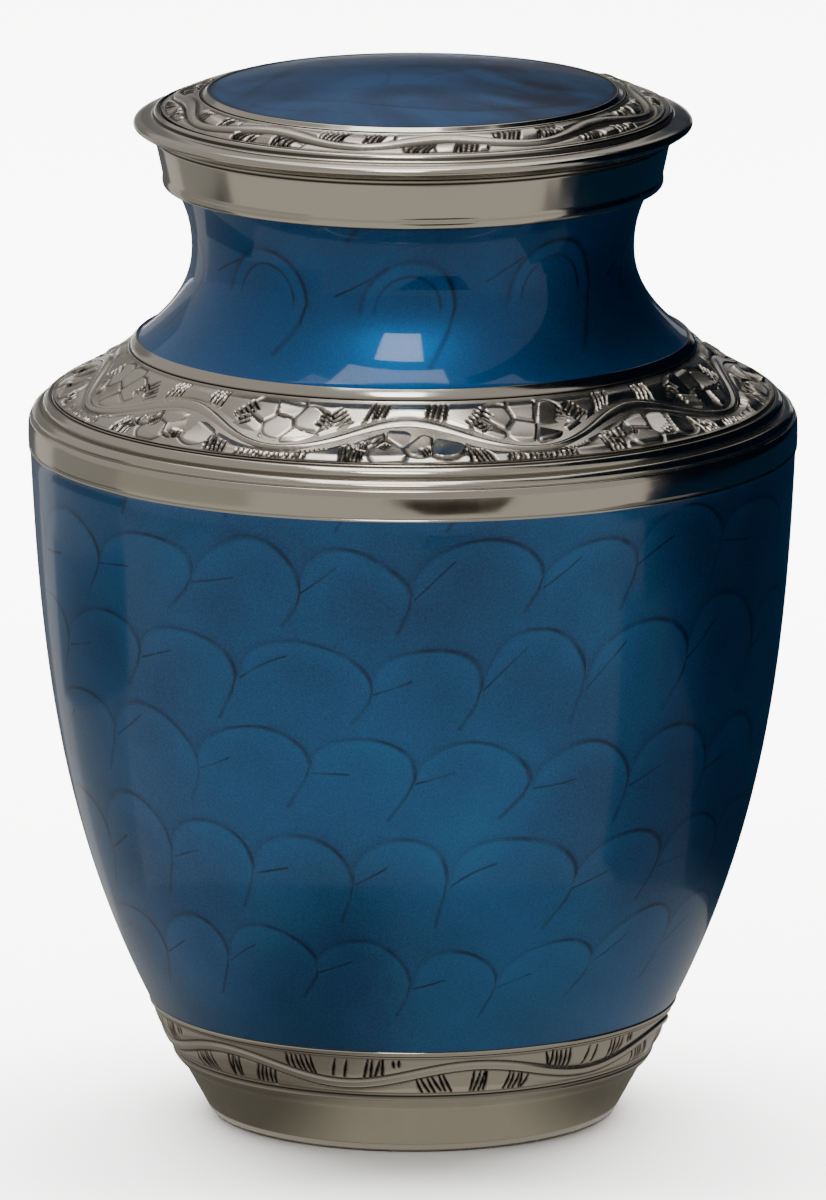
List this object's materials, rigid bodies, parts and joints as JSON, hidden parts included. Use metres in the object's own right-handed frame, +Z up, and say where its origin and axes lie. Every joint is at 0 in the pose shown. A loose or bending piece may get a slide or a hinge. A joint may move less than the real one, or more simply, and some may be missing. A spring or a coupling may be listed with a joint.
{
  "type": "funeral urn",
  "caption": "Hollow turned funeral urn with a waisted neck, carved shoulder and foot bands, and a domed lid that lifts off.",
  "frame": {"origin": "centre of the foot's underside, in the plane that it stands on", "axes": "+Z up along the urn's axis, -Y towards the viewer of the front"},
  "size_m": [0.1766, 0.1766, 0.2425],
  "materials": {
    "enamelled_vessel": "blue pearl enamel on brass, nickel plated bands",
    "plated_lid": "nickel plated brass with a blue enamel dome"
  },
  "bodies": {
    "root": {"vessel": "enamelled_vessel", "lid": "plated_lid"}
  },
  "joints": []
}
